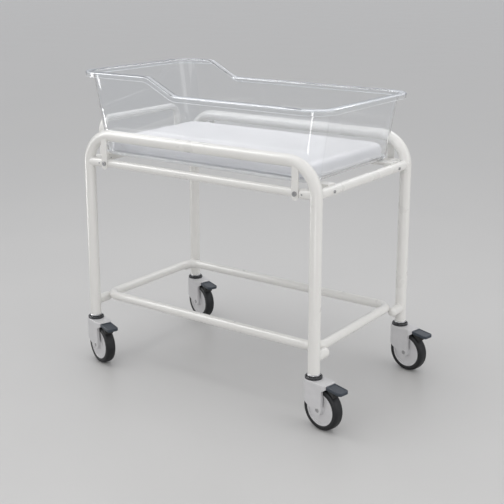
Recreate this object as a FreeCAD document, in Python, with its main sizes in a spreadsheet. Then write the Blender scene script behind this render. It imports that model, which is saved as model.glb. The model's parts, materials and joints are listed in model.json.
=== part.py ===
"""Hospital bassinet: a clear moulded tub on a welded tube trolley with four braked casters.

Frame of the model: the origin is on the floor under the middle of the whole bassinet as it stands
with its casters trailing, +Z is up, +X runs to the foot end and -X to the head end, where the tub's
rim is high. The middle of the four legs lies a little towards the head and the far side of it.
"""
import FreeCAD, Part

import math
import os

import Sketcher

Vector = FreeCAD.Vector
X_AXIS, Y_AXIS, Z_AXIS = Vector(1, 0, 0), Vector(0, 1, 0), Vector(0, 0, 1)

# Driving dimensions in millimetres and degrees.
DIMENSIONS = {
    # from the middle of the legs to the origin
    "origin_x": 35.5,
    "origin_y": -12,
    # side frames: one bent tube each, leg - top rail - leg
    "leg_span_x": 840,
    "leg_span_y": 520,
    "leg_dia": 35,
    "tube_wall": 1.5,
    "leg_foot_z": 152,
    "top_rail_z": 752,
    "frame_bend": 92,
    # rails that carry the tub
    "side_rail_dia": 25,
    "side_rail_z": 665,
    "rail_socket_dia": 30,
    "rail_end_gap": 3,
    "slip_gap": 0.1,
    "cross_rail_dia": 28,
    "cross_rail_z": 665,
    # lower ring and the stubs that hold it
    "ring_dia": 28,
    "ring_z": 212,
    "ring_inset_x": 16,
    "ring_inset_y": 46,
    "ring_bend": 41,
    "stub_dia": 30,
    "stub_z": 199,
    "stub_reach": 67,
    "stub_nose": 12,
    # flat straps between top rail and side rail
    "strap_width": 22,
    "strap_thick": 3,
    "strap_inset_foot": 60,
    "strap_inset_head": 76,
    "strap_clear": 2,
    "strap_tail": 6,
    "strap_head_drop": 6,
    "strap_round_share": 0.9,
    "strap_bolt_dia": 6,
    "bolt_head_dia": 14,
    "bolt_head_high": 4,
    "bolt_key": 6,
    "nut_dia": 11,
    "nut_high": 5,
    # small screws
    "set_screw_dia": 5,
    "set_screw_back": 9,
    "set_screw_proud": 0.6,
    "rest_screw_dia": 5,
    "rest_screw_head": 9,
    "rest_screw_head_high": 2.5,
    # guard rail at the head end
    "guard_dia": 22,
    "guard_z": 786,
    "guard_past_rest": 3,
    "guard_bend": 35,
    "guard_offset": 14,
    # rests that the tub's floor stands on
    "rest_inset": 50,
    "rest_width": 36,
    "rest_screw_shift": 8,
    "rest_reach": 70,
    "rest_thick": 5,
    "rest_leg": 24,
    "rest_drop": 8,
    "rest_inner_round": 4,
    "rest_hook_round": 3,
    "rest_screw_bite": 4,
    # tub
    "tub_head_gap": 26,
    "tub_foot_gap": 37,
    "tub_side_gap": 10.5,
    "tub_depth": 209,
    "tub_flare_x": 36,
    "tub_flare_y": 8,
    "tub_wall": 4,
    "tub_corner": 52,
    "tub_floor_round": 18,
    "rim_width": 24,
    "rim_drop": 16,
    "rim_thick": 4,
    "rim_round": 6,
    "rim_inner_round": 5,
    "rim_lip_round": 1.2,
    "rim_rise": 51,
    "rim_slope_run": 100,
    "rim_slope_round": 54,
    "rim_slope_near": -178,
    "rim_slope_far": -330,
    # mattress
    "mattress_high": 48,
    "mattress_gap": 2,
    "mattress_round": 12,
    # casters
    "wheel_dia": 125,
    "wheel_width": 32,
    "tyre_depth": 15,
    "tyre_round": 7,
    "tread_crown": 2,
    "tread_flat": 14,
    "tread_ease": 12,
    "tyre_lip": 2,
    "trail": 38,
    "axle_dia": 8,
    "axle_head_dia": 13,
    "axle_head_high": 3,
    "axle_key_dia": 5,
    "axle_key_deep": 1.5,
    "running_gap": 0.1,
    "end_float": 0.3,
    "fork_gap": 1.5,
    "fork_plate": 8.5,
    "fork_head_dia": 58,
    "fork_top_z": 142,
    "fork_skin": 4.5,
    "fork_shoulder": 55,
    "fork_shoulder_round": 6,
    "fork_nose_share": 0.98,
    "fork_boss_dia": 27,
    "boss_tangent_x": 0.52,
    "boss_tangent_z": 0.86,
    "fork_bridge": 63,
    "fork_bridge_width": 40,
    "fork_bridge_taper": 10,
    "fork_cheek": 20,
    "fork_cheek_round": 4,
    "fork_lip_rise": 7,
    "fork_lip_round": 2.5,
    "fork_roof": 17.5,
    "fork_mud_gap": 3.5,
    "fork_round": 2.5,
    "hub_side_gap": 1,
    "hub_boss_dia": 27,
    "hub_web": 24,
    "hub_rim": 4.5,
    "hub_slope": 2,
    "hub_fillet": 1.5,
    "edge_round": 0.8,
    "kingpin_dia": 12,
    "kingpin_head_dia": 19,
    "kingpin_head_high": 4,
    "stem_flange_high": 4,
    "stem_plug_high": 42,
    "stem_plug_round": 3,
    "race_dia": 34,
    "seal_dia": 50,
    "seal_wall": 4,
    "seal_high": 7,
    "seal_round": 2,
    "swivel_foot": -11,
    "swivel_head": -18,
    # brake pedals
    "pedal_pivot_x": 50,
    "pedal_pivot_z": 131.5,
    "pedal_barrel_dia": 10,
    "pedal_pin_dia": 6,
    "pedal_start": 64,
    "pedal_end": 116,
    "pedal_width": 38,
    "pedal_thick": 9.5,
    "pedal_top_z": 139,
    "pedal_fall": 5,
    "pedal_round": 9,
    "pedal_edge": 1.8,
    "pedal_border": 4.5,
    "pedal_dish": 1,
    "pedal_pin_reach": 5,
    "pedal_arm_drop": 3,
    "shoe_gap": 4,
    "shoe_start": 66,
    "shoe_end": 86,
    "shoe_side_gap": 2,
}


class Size:
    """A number together with the spreadsheet formula that it comes from."""

    def __init__(self, number, formula):
        self.number = float(number)
        self.formula = formula

    @staticmethod
    def of(value):
        """Any plain number as a Size."""
        return value if isinstance(value, Size) else Size(value, repr(float(value)))

    def _with(self, other, sign, number):
        return Size(number, "(%s %s %s)" % (self.formula, sign, Size.of(other).formula))

    def __float__(self):
        return self.number

    def __add__(self, other):
        return self._with(other, "+", self.number + float(other))

    def __sub__(self, other):
        return self._with(other, "-", self.number - float(other))

    def __mul__(self, other):
        return self._with(other, "*", self.number * float(other))

    def __truediv__(self, other):
        return self._with(other, "/", self.number / float(other))

    def __radd__(self, other):
        return Size.of(other) + self

    def __rsub__(self, other):
        return Size.of(other) - self

    def __rmul__(self, other):
        return Size.of(other) * self

    def __neg__(self):
        return Size.of(0) - self


def cosine(angle):
    """Cosine of a Size in degrees."""
    return Size(math.cos(math.radians(angle.number)), "cos(%s)" % angle.formula)


def sine(angle):
    """Sine of a Size in degrees."""
    return Size(math.sin(math.radians(angle.number)), "sin(%s)" % angle.formula)


class Sizes:
    """The spreadsheet of driving dimensions, read as attributes."""

    def __init__(self, doc, dimensions):
        self.sheet = doc.addObject("Spreadsheet::Sheet", "sizes")
        for row, (alias, value) in enumerate(dimensions.items(), start=1):
            self.sheet.set("A%d" % row, alias)
            self.sheet.set("B%d" % row, str(value))
            self.sheet.setAlias("B%d" % row, alias)
        doc.recompute()

    def __getattr__(self, alias):
        return Size(self.sheet.get(alias), "sizes.%s" % alias)


doc = FreeCAD.newDocument("bassinet")
size = Sizes(doc, DIMENSIONS)
pieces = []

PICK_SLACK = 1.0
LEVEL_SLACK = 1e-3
HEXAGON_HALF_TURN = 30
ORIGIN_ROLE = {"XY": "XY_Plane", "XZ": "XZ_Plane", "YZ": "YZ_Plane"}


# --------------------------------------------------------------------------- building blocks

def bind(obj, prop, amount):
    """Tie one property of an object to a spreadsheet formula."""
    obj.setExpression(prop, Size.of(amount).formula)


def set_sizes(obj, **amounts):
    """Set number properties and tie each of them to the sheet."""
    for prop, amount in amounts.items():
        setattr(obj, prop, float(amount))
        bind(obj, prop, amount)


def put(obj, x=0, y=0, z=0, turn=None):
    """Place an object at coordinates from the middle of the legs, with an optional fixed rotation."""
    x, y = x - size.origin_x, y - size.origin_y
    obj.Placement = FreeCAD.Placement(Vector(float(x), float(y), float(z)), turn or FreeCAD.Rotation())
    for axis, amount in (("x", x), ("y", y), ("z", z)):
        bind(obj, "Placement.Base." + axis, amount)
    return obj


def new_body(name):
    """An empty PartDesign body."""
    return doc.addObject("PartDesign::Body", name)


def attach(feature, body, plane, turn, offset=0):
    """Fix a feature to one of its body's origin planes, moved along the plane's normal."""
    support = next(f for f in body.Origin.OriginFeatures if f.Role == ORIGIN_ROLE[plane])
    feature.AttachmentSupport = [(support, "")]
    feature.MapMode = "FlatFace"
    feature.AttachmentOffset = FreeCAD.Placement(Vector(0, 0, float(offset)), turn)
    bind(feature, "AttachmentOffset.Base.z", offset)


def new_sketch(body, plane, name, offset=0):
    """A sketch on one of the body's own origin planes, moved along its normal."""
    sketch = body.newObject("Sketcher::SketchObject", name)
    attach(sketch, body, plane, FreeCAD.Rotation(), offset)
    return sketch


def pin(sketch, geometry, point, x, y):
    """Hold a sketch point at sheet-driven coordinates."""
    for kind, amount in (("DistanceX", x), ("DistanceY", y)):
        index = sketch.addConstraint(Sketcher.Constraint(kind, -1, 1, geometry, point, float(amount)))
        bind(sketch, "Constraints[%d]" % index, amount)


def hold_radius(sketch, geometry, radius):
    """Give a circle or an arc its sheet-driven radius."""
    index = sketch.addConstraint(Sketcher.Constraint("Radius", geometry, float(radius)))
    bind(sketch, "Constraints[%d]" % index, radius)


def add_circle(sketch, radius, x=0, y=0):
    """A pinned circle."""
    circle = sketch.addGeometry(Part.Circle(Vector(float(x), float(y), 0), Z_AXIS, float(radius)))
    pin(sketch, circle, 3, x, y)
    hold_radius(sketch, circle, radius)


def corner_arc(before, corner, after, radius):
    """The rounding of one corner: where it starts and ends, its centre, and if it turns left."""
    into = (corner - before).normalize()
    out = (after - corner).normalize()
    reach = radius * math.tan(into.getAngle(out) / 2)
    left = into.cross(out).z > 0
    start = corner - into * reach
    side = Vector(-into.y, into.x, 0) if left else Vector(into.y, -into.x, 0)
    return start, corner + out * reach, start + side * radius, left


def add_outline(sketch, corners, closed=True):
    """Lines through the given corners (x, y, radius), with a tangent arc at each rounded one."""
    points = [Vector(float(x), float(y), 0) for x, y, _ in corners]
    count = len(corners)
    arcs = {}
    for i, (_, _, radius) in enumerate(corners):
        if float(radius) > 0:
            arcs[i] = corner_arc(points[i - 1], points[i], points[(i + 1) % count], float(radius))
    lines = []
    for i in range(count if closed else count - 1):
        after = (i + 1) % count
        start = arcs[i][1] if i in arcs else points[i]
        end = arcs[after][0] if after in arcs else points[after]
        lines.append(sketch.addGeometry(Part.LineSegment(start, end)))
    for i, (x, y, radius) in enumerate(corners):
        line_in = lines[i - 1] if closed or i > 0 else None
        line_out = lines[i] if i < len(lines) else None
        if i not in arcs:
            pin(sketch, line_out if line_out is not None else line_in, 1 if line_out is not None else 2, x, y)
            if line_in is not None and line_out is not None:
                sketch.addConstraint(Sketcher.Constraint("Coincident", line_in, 2, line_out, 1))
            continue
        start, end, centre, left = arcs[i]
        first, last = (start, end) if left else (end, start)
        angles = [math.atan2(p.y - centre.y, p.x - centre.x) for p in (first, last)]
        circle = Part.Circle(centre, Z_AXIS, float(radius))
        arc = sketch.addGeometry(Part.ArcOfCircle(circle, *angles))
        apex = sketch.addGeometry(Part.Point(points[i]), True)
        pin(sketch, apex, 1, x, y)
        sketch.addConstraint([
            Sketcher.Constraint("Tangent", line_in, 2, arc, 1 if left else 2),
            Sketcher.Constraint("Tangent", arc, 2 if left else 1, line_out, 1),
            Sketcher.Constraint("PointOnObject", apex, 1, line_in),
            Sketcher.Constraint("PointOnObject", apex, 1, line_out),
        ])
        hold_radius(sketch, arc, radius)


def outline_sketch(body, plane, name, corners, offset=0, closed=True):
    """A sketch that holds one outline."""
    sketch = new_sketch(body, plane, name, offset)
    add_outline(sketch, corners, closed)
    return sketch


def rectangle(half_x, half_y, radius, centre_x=0, centre_y=0):
    """Corners of a rounded rectangle."""
    return [(centre_x - half_x, centre_y - half_y, radius), (centre_x + half_x, centre_y - half_y, radius),
            (centre_x + half_x, centre_y + half_y, radius), (centre_x - half_x, centre_y + half_y, radius)]


def pad(body, sketch, length, midplane=False, reverse=False):
    """Extrude a sketch; a midplane pad grows to both sides."""
    feature = body.newObject("PartDesign::Pad", sketch.Name + "_pad")
    feature.Profile = sketch
    feature.Midplane = midplane
    feature.Reversed = reverse
    set_sizes(feature, Length=length)
    return feature


def pocket(body, sketch, length, midplane=False, reverse=False):
    """Cut a sketch out of the body, and make sure that it does cut."""
    doc.recompute()
    before = body.Shape.Volume
    feature = body.newObject("PartDesign::Pocket", sketch.Name + "_pocket")
    feature.Profile = sketch
    feature.Midplane = midplane
    feature.Reversed = reverse
    set_sizes(feature, Length=length)
    doc.recompute()
    if body.Shape.Volume >= before:
        raise ValueError("pocket %s removes nothing" % sketch.Name)
    return feature


def revolve(name, profile):
    """A body turned about its own Z from (radius, height, rounding) corners."""
    body = new_body(name)
    sketch = outline_sketch(body, "XZ", name + "_profile", profile)
    feature = body.newObject("PartDesign::Revolution", name + "_turned")
    feature.Profile = sketch
    feature.ReferenceAxis = (sketch, ["V_Axis"])
    feature.Angle = 360
    return body


def sweep(body, route, kind, plane, start, radius):
    """Add a circle swept along a route to a body, or take it away."""
    section = new_sketch(body, plane, "%s_%s" % (body.Name, kind.lower()), start[2])
    add_circle(section, radius, start[0], start[1])
    doc.recompute()
    pipe = body.newObject("PartDesign::%sPipe" % kind, section.Name + "_pipe")
    pipe.Profile = section
    pipe.Spine = (route, [])


def bar(name, line, plane, start, dia, closed=False):
    """A bent round bar along a line (sketch plane, corners, offset), and the sketch of its route."""
    body = new_body(name)
    route = outline_sketch(body, line[0], name + "_route", line[1], line[2], closed)
    sweep(body, route, "Additive", plane, start, dia / 2)
    return body, route


def tube(name, line, plane, start, dia, closed=False):
    """A bent round tube: the bar with its bore."""
    body, route = bar(name, line, plane, start, dia, closed)
    sweep(body, route, "Subtractive", plane, start, dia / 2 - size.tube_wall)
    return body


def round_edges(body, radius, wanted, name):
    """Fillet the edges of a body that a test picks out."""
    doc.recompute()
    base = body.Tip
    edges = ["Edge%d" % (i + 1) for i, edge in enumerate(base.Shape.Edges) if wanted(edge)]
    if not edges:
        raise ValueError("no edge to round on " + name)
    feature = body.newObject("PartDesign::Fillet", name)
    feature.Base = (base, edges)
    set_sizes(feature, Radius=radius)
    return feature


def cylinder(name, radius, length, x=0, y=0, z=0, axis=Z_AXIS):
    """A Part cylinder that starts at a point and runs along an axis."""
    rod = doc.addObject("Part::Cylinder", name)
    set_sizes(rod, Radius=radius, Height=length)
    return put(rod, x, y, z, FreeCAD.Rotation(Z_AXIS, axis))


def cut(name, base, *tools):
    """Base minus every tool."""
    tool = tools[0]
    if len(tools) > 1:
        tool = doc.addObject("Part::MultiFuse", name + "_tools")
        tool.Shapes = list(tools)
    feature = doc.addObject("Part::Cut", name + "_cut")
    feature.Base = base
    feature.Tool = tool
    return feature


def fuse(name, *parts):
    """Several solids as one."""
    feature = doc.addObject("Part::MultiFuse", name + "_fused")
    feature.Shapes = list(parts)
    return feature


def common(name, first, second):
    """What two solids share."""
    feature = doc.addObject("Part::Common", name + "_common")
    feature.Base = first
    feature.Tool = second
    return feature


def group(name, *parts):
    """Separate solids that share one node."""
    feature = doc.addObject("Part::Compound", name + "_group")
    feature.Links = list(parts)
    return feature


def deliver(obj, node):
    """Name the finished piece of one node."""
    obj.Label = node
    pieces.append(obj)
    return obj


# --------------------------------------------------------------------------- shared places

half_x = size.leg_span_x / 2
half_y = size.leg_span_y / 2
leg_r = size.leg_dia / 2
side_rail_r = size.side_rail_dia / 2
cross_rail_r = size.cross_rail_dia / 2
ring_r = size.ring_dia / 2
SIDES = {"near": -1, "far": 1}
ENDS = {"head": -1, "foot": 1}
CORNERS = [(end, side) for end in ENDS for side in SIDES]
STRAP_INSET = {"head": size.strap_inset_head, "foot": size.strap_inset_foot}

# the tub fills the room between the top rails, the guard rail and the foot legs
tub_head_reach = half_x + size.guard_offset - size.guard_dia / 2 - size.tub_head_gap
tub_foot_reach = half_x - size.tub_foot_gap
tub_floor_length = tub_head_reach + tub_foot_reach
tub_floor_width = size.leg_span_y - size.leg_dia - size.tub_side_gap * 2
tub_shift = (tub_head_reach - tub_foot_reach) / 2
rest_span = tub_floor_width - size.rest_inset * 2
guard_span = rest_span + size.guard_past_rest * 2


def leg_tool(name, x, y):
    """A solid as large as a leg, to cope the ends of the tubes that meet it."""
    return cylinder(name, leg_r, size.top_rail_z, x, y)


# --------------------------------------------------------------------------- welded frame

frame_bars = {}


def make_side_frames():
    """Two inverted-U tubes, each with its two legs and its top rail, and solid bars to cope with."""
    corners = [(-half_x, size.leg_foot_z, 0), (-half_x, size.top_rail_z, size.frame_bend),
               (half_x, size.top_rail_z, size.frame_bend), (half_x, size.leg_foot_z, 0)]
    swept = (("XZ", corners, 0), "XY", (-half_x, 0, size.leg_foot_z), size.leg_dia)
    for side, sign in SIDES.items():
        deliver(put(tube("frame_" + side, *swept), y=half_y * sign), "side_frame_" + side)
        frame_bars[side] = put(bar("frame_bar_" + side, *swept)[0], y=half_y * sign)


def make_side_rails():
    """Straight rails that slip into the sockets on the legs and take the strap bolts."""
    half_length = half_x - leg_r - size.rail_end_gap
    for side, sign in SIDES.items():
        start = (-half_length, half_y * sign, size.side_rail_z)
        solid = cylinder("rail_%s_outside" % side, side_rail_r, half_length * 2, *start, axis=X_AXIS)
        bore = cylinder("rail_%s_bore" % side, side_rail_r - size.tube_wall, half_length * 2, *start, axis=X_AXIS)
        holes = [strap_hole("rail_%s_%s_hole" % (side, end), end, side, size.side_rail_dia * 2) for end in ENDS]
        deliver(cut("rail_" + side, solid, bore, *holes), "side_rail_" + side)


def strap_hole(name, end, side, length):
    """The bolt hole through strap and side rail, centred on the rail."""
    x = (half_x - STRAP_INSET[end]) * ENDS[end]
    y = half_y * SIDES[side] - length / 2
    return cylinder(name, size.strap_bolt_dia / 2, length, x, y, size.side_rail_z, Y_AXIS)


def socket_reach(end):
    """How far a sleeve reaches from the leg's axis; it ends just before the strap."""
    return STRAP_INSET[end] - size.strap_width / 2 - size.strap_clear


def make_rail_sockets():
    """Short sleeves, coped to the side frames, that hold the ends of the side rails."""
    sleeves = []
    for end, side in CORNERS:
        name = "socket_%s_%s" % (end, side)
        way = ENDS[end]
        x, y = half_x * way, half_y * SIDES[side]
        turn, reach = X_AXIS * -way, socket_reach(end)
        sleeve = cylinder(name, size.rail_socket_dia / 2, reach, x, y, size.side_rail_z, turn)
        bore = cylinder(name + "_bore", side_rail_r + size.slip_gap, reach, x, y, size.side_rail_z, turn)
        cross = cross_rail_bar(name + "_cross", end)
        sleeves.append(cut(name, sleeve, bore, cross, frame_bars[side], set_screw(name + "_tap", end, side)))
    deliver(group("sockets", *sleeves), "rail_sockets")


def set_screw(name, end, side):
    """A grub screw from the face of the rail to just proud of the sleeve."""
    x = (half_x - socket_reach(end) + size.set_screw_back) * ENDS[end]
    y = (half_y + side_rail_r) * SIDES[side]
    length = size.rail_socket_dia / 2 - side_rail_r + size.set_screw_proud
    return cylinder(name, size.set_screw_dia / 2, length, x, y, size.side_rail_z, Y_AXIS * SIDES[side])


def make_set_screws():
    """The four grub screws in the sockets."""
    screws = [set_screw("grub_%s_%s" % corner, *corner) for corner in CORNERS]
    deliver(group("grubs", *screws), "socket_set_screws")


def cross_rail_bar(name, end):
    """A cross rail as a solid bar between the axes of the legs."""
    return cylinder(name, cross_rail_r, size.leg_span_y, half_x * ENDS[end], -half_y, size.cross_rail_z, Y_AXIS)


def make_cross_rails():
    """Upper rails across the head and the foot end, coped to the side frames."""
    for end, way in ENDS.items():
        x = half_x * way
        name = "cross_" + end
        solid = cross_rail_bar(name, end)
        bore = cylinder(name + "_bore", cross_rail_r - size.tube_wall, size.leg_span_y, x, -half_y,
                        size.cross_rail_z, Y_AXIS)
        holes = [rest_screw_shank("%s_%s_tap" % (name, side), end, side) for side in SIDES]
        deliver(cut(name, solid, bore, *frame_bars.values(), *holes), "cross_rail_" + end)


def ring_route(half_length, half_width):
    """The rounded rectangle of the lower ring, started in the middle of its near side."""
    bend = size.ring_bend
    return [(Size.of(0), -half_width, 0), (half_length, -half_width, bend), (half_length, half_width, bend),
            (-half_length, half_width, bend), (-half_length, -half_width, bend)]


def make_lower_ring():
    """One tube bent to a closed rounded rectangle."""
    half_length = half_x - size.ring_inset_x
    half_width = half_y - size.ring_inset_y
    route = ring_route(half_length, half_width)
    ring = tube("ring", ("XY", route, size.ring_z), "YZ", (-half_width, size.ring_z, 0), size.ring_dia, True)
    deliver(put(ring), "lower_ring")


def ring_tool(name, end, side):
    """The stretch of the ring that a stub meets, as a solid bar with its bent corner."""
    length, width = half_x - size.ring_inset_x, half_y - size.ring_inset_y
    way, sign = ENDS[end], SIDES[side]
    corners = [(Size.of(0), width * sign, 0), (length * way, width * sign, size.ring_bend),
               (length * way, Size.of(0), 0)]
    return put(bar(name, ("XY", corners, size.ring_z), "YZ", (width * sign, size.ring_z, 0), size.ring_dia)[0])


def make_ring_stubs():
    """Round-nosed stubs that stand out from the legs and carry the corners of the ring."""
    for end, side in CORNERS:
        name = "stub_%s_%s" % (end, side)
        x, y = half_x * ENDS[end], half_y * SIDES[side]
        profile = [(Size.of(0), Size.of(0), 0), (size.stub_dia / 2, Size.of(0), 0),
                   (size.stub_dia / 2, size.stub_reach, size.stub_nose), (Size.of(0), size.stub_reach, 0)]
        stub = put(revolve(name, profile), x, y, size.stub_z, FreeCAD.Rotation(Z_AXIS, Y_AXIS * -SIDES[side]))
        shaped = cut(name, stub, leg_tool(name + "_leg", x, y), ring_tool(name + "_ring", end, side))
        deliver(shaped, "ring_stub_%s_%s" % (end, side))


def make_straps():
    """Flat straps from the top rails down over the outside of the side rails."""
    for end, side in CORNERS:
        name = "strip_%s_%s" % (end, side)
        sign = SIDES[side]
        body = new_body(name)
        half = size.strap_width / 2
        foot = -side_rail_r - size.strap_tail
        top = size.top_rail_z - size.side_rail_z - size.strap_head_drop
        sketch = new_sketch(body, "XZ", name + "_face")
        rounding = half * size.strap_round_share
        add_outline(sketch, [(-half, foot, rounding), (half, foot, rounding), (half, top, 0), (-half, top, 0)])
        add_circle(sketch, size.strap_bolt_dia / 2)
        pad(body, sketch, size.strap_thick, reverse=sign > 0)
        x = (half_x - STRAP_INSET[end]) * ENDS[end]
        put(body, x, (half_y + side_rail_r) * sign, size.side_rail_z)
        deliver(cut(name, body, frame_bars[side]), "strap_%s_%s" % (end, side))


def make_strap_bolts():
    """Socket-head bolts through strap and rail, with a round nut on the inside of each."""
    bolts, nuts = [], []
    for end, side in CORNERS:
        sign = SIDES[side]
        x = (half_x - STRAP_INSET[end]) * ENDS[end]
        face = half_y + side_rail_r + size.strap_thick
        inner = half_y - side_rail_r
        name = "bolt_%s_%s" % (end, side)
        grip = size.side_rail_dia + size.strap_thick + size.nut_high
        body = new_body(name)
        pad(body, circle_sketch(body, name + "_shank", size.strap_bolt_dia / 2), grip, reverse=True)
        pad(body, circle_sketch(body, name + "_head", size.bolt_head_dia / 2), size.bolt_head_high)
        key = new_sketch(body, "XY", name + "_key", size.bolt_head_high)
        add_outline(key, hexagon(size.bolt_key / 2))
        pocket(body, key, size.bolt_head_high / 2)
        turn = FreeCAD.Rotation(Z_AXIS, Y_AXIS * sign)
        bolts.append(put(body, x, face * sign, size.side_rail_z, turn))
        barrel = cylinder(name + "_nut", size.nut_dia / 2, size.nut_high, x, inner * sign, size.side_rail_z,
                          Y_AXIS * -sign)
        thread = cylinder(name + "_nut_bore", size.strap_bolt_dia / 2, size.nut_high, x, inner * sign,
                          size.side_rail_z, Y_AXIS * -sign)
        nuts.append(cut(name + "_nut", barrel, thread, rail_solid(name + "_seat", side)))
    deliver(group("bolts", *bolts), "strap_bolts")
    deliver(group("nuts", *nuts), "strap_nuts")


def rail_solid(name, side):
    """A side rail as a solid bar, to shape what seats on it."""
    return cylinder(name, side_rail_r, size.leg_span_x, -half_x, half_y * SIDES[side], size.side_rail_z, X_AXIS)


def circle_sketch(body, name, radius):
    """A sketch on XY that holds one circle round the origin."""
    sketch = new_sketch(body, "XY", name)
    add_circle(sketch, radius)
    return sketch


def hexagon(flat):
    """Corners of a hexagon with the given half width across its flats."""
    tip = flat / math.cos(math.radians(HEXAGON_HALF_TURN))
    rise = flat
    return [(tip, Size.of(0), 0), (tip / 2, rise, 0), (-tip / 2, rise, 0), (-tip, Size.of(0), 0),
            (-tip / 2, -rise, 0), (tip / 2, -rise, 0)]


def make_guard_rail():
    """An inverted-U tube that stands on the head cross rail, outside the tub."""
    half_span = guard_span / 2
    route = [(-half_span, size.cross_rail_z, 0), (-half_span, size.guard_z, size.guard_bend),
             (half_span, size.guard_z, size.guard_bend), (half_span, size.cross_rail_z, 0)]
    guard = tube("guard", ("YZ", route, 0), "XY", (Size.of(0), -half_span, size.cross_rail_z), size.guard_dia)
    put(guard, -half_x - size.guard_offset)
    rail = cross_rail_bar("guard_seat", "head")
    below = doc.addObject("Part::Box", "guard_below")
    set_sizes(below, Length=size.leg_dia * 2, Width=size.leg_span_y, Height=cross_rail_r)
    put(below, -half_x - size.leg_dia, -half_y, size.cross_rail_z - size.cross_rail_dia / 2)
    deliver(cut("guard", guard, rail, below), "guard_rail")


def rest_screw_y(side):
    """Where the screw of a rest lies across the bassinet, outward of the rest's middle."""
    return (rest_span / 2 + size.rest_screw_shift) * SIDES[side]


def rest_screw_shank(name, end, side):
    """The screw that goes through the cross rail into a rest, from the outside."""
    way = ENDS[end]
    x = (half_x + cross_rail_r) * way
    y = rest_screw_y(side)
    length = cross_rail_r + size.rest_leg
    return cylinder(name, size.rest_screw_dia / 2, length, x, y, size.cross_rail_z, X_AXIS * -way)


def make_tub_rests():
    """Hooked rests on the cross rails; the floor of the tub stands on their flat arms."""
    rests, screws = [], []
    for end, side in CORNERS:
        name = "rest_%s_%s" % (end, side)
        body = new_body(name)
        top = cross_rail_r + size.rest_thick
        arm = [(Size.of(0), top, 0), (-size.rest_reach, top, 0), (-size.rest_reach, cross_rail_r, 0),
               (-size.rest_leg, cross_rail_r, size.rest_inner_round),
               (-size.rest_leg, -size.rest_drop, size.rest_hook_round),
               (-size.rest_leg / 2, -size.rest_drop, 0), (Size.of(0), Size.of(0), 0)]
        pad(body, outline_sketch(body, "XZ", name + "_side", arm), size.rest_width, midplane=True)
        way = ENDS[end]
        turn = FreeCAD.Rotation(Z_AXIS, 0 if way > 0 else 180)
        put(body, half_x * way, rest_span / 2 * SIDES[side], size.cross_rail_z, turn)
        rail = cross_rail_bar(name + "_rail", end)
        rests.append(cut(name, body, rail, rest_screw_shank(name + "_tap", end, side)))
        shank = rest_screw_shank(name + "_shank", end, side)
        head = cylinder(name + "_head", size.rest_screw_head / 2, size.rest_screw_head_high + size.rest_screw_bite,
                        (half_x + cross_rail_r - size.rest_screw_bite) * way, rest_screw_y(side),
                        size.cross_rail_z, X_AXIS * way)
        screws.append(fuse(name + "_screw", shank, cut(name + "_head", head, cross_rail_bar(name + "_seat", end))))
    deliver(group("rests", *rests), "tub_rests")
    deliver(group("rest_screws", *screws), "rest_screws")


# --------------------------------------------------------------------------- tub and mattress

floor_z = size.cross_rail_z + cross_rail_r + size.rest_thick
rim_high = size.tub_depth + size.rim_rise


def plan_at(height, outward=0):
    """Half length and half width of the tub's wall at a height above its underside."""
    share = height / size.tub_depth
    return (tub_floor_length / 2 + size.tub_flare_x * share + outward,
            tub_floor_width / 2 + size.tub_flare_y * share + outward)


def tapered_block(name, low, high, outward):
    """A solid that fills the tub's tapered plan between two heights, grown or shrunk all round."""
    body = new_body(name)
    wedge = body.newObject("PartDesign::AdditiveWedge", name + "_wedge")
    attach(wedge, body, "XY", FreeCAD.Rotation(X_AXIS, 90))
    low_x, low_y = plan_at(low, outward)
    high_x, high_y = plan_at(high, outward)
    set_sizes(wedge, Ymin=low, Ymax=high, Xmin=-low_x, Xmax=low_x, Zmin=-low_y, Zmax=low_y,
              X2min=-high_x, X2max=high_x, Z2min=-high_y, Z2max=high_y)
    round_edges(body, size.tub_corner + outward, lambda e: e.BoundBox.ZLength > PICK_SLACK, name + "_corners")
    return body


def rim_line(lift, slope_x):
    """Corners of the rim's side view from head to foot, lowered by lift."""
    reach = tub_floor_length
    return [(-reach, rim_high - lift, 0), (slope_x, rim_high - lift, size.rim_slope_round),
            (slope_x + size.rim_slope_run, size.tub_depth - lift, size.rim_slope_round),
            (reach, size.tub_depth - lift, 0)]


def rim_band(name, lift, depth):
    """A slab across the tub that follows the stepped rim line of each side."""
    reach = tub_floor_length
    halves = []
    for side, sign in SIDES.items():
        slope_x = (size.rim_slope_near if side == "near" else size.rim_slope_far) + tub_shift
        body = new_body("%s_%s" % (name, side))
        upper = rim_line(lift, slope_x)
        if depth is None:
            lower = [(reach, -size.tub_depth, 0), (-reach, -size.tub_depth, 0)]
        else:
            lower = [(x, z, r) for x, z, r in reversed(rim_line(lift + depth, slope_x))]
        sketch = outline_sketch(body, "XZ", "%s_%s_line" % (name, side), upper + lower)
        pad(body, sketch, tub_floor_width, reverse=sign > 0)
        halves.append(body)
    return fuse(name, *halves)


def level_edge(edge, height):
    """True for an edge that lies level at the given height."""
    box = edge.BoundBox
    return abs(box.ZMin - height) < LEVEL_SLACK and abs(box.ZMax - height) < LEVEL_SLACK


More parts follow.
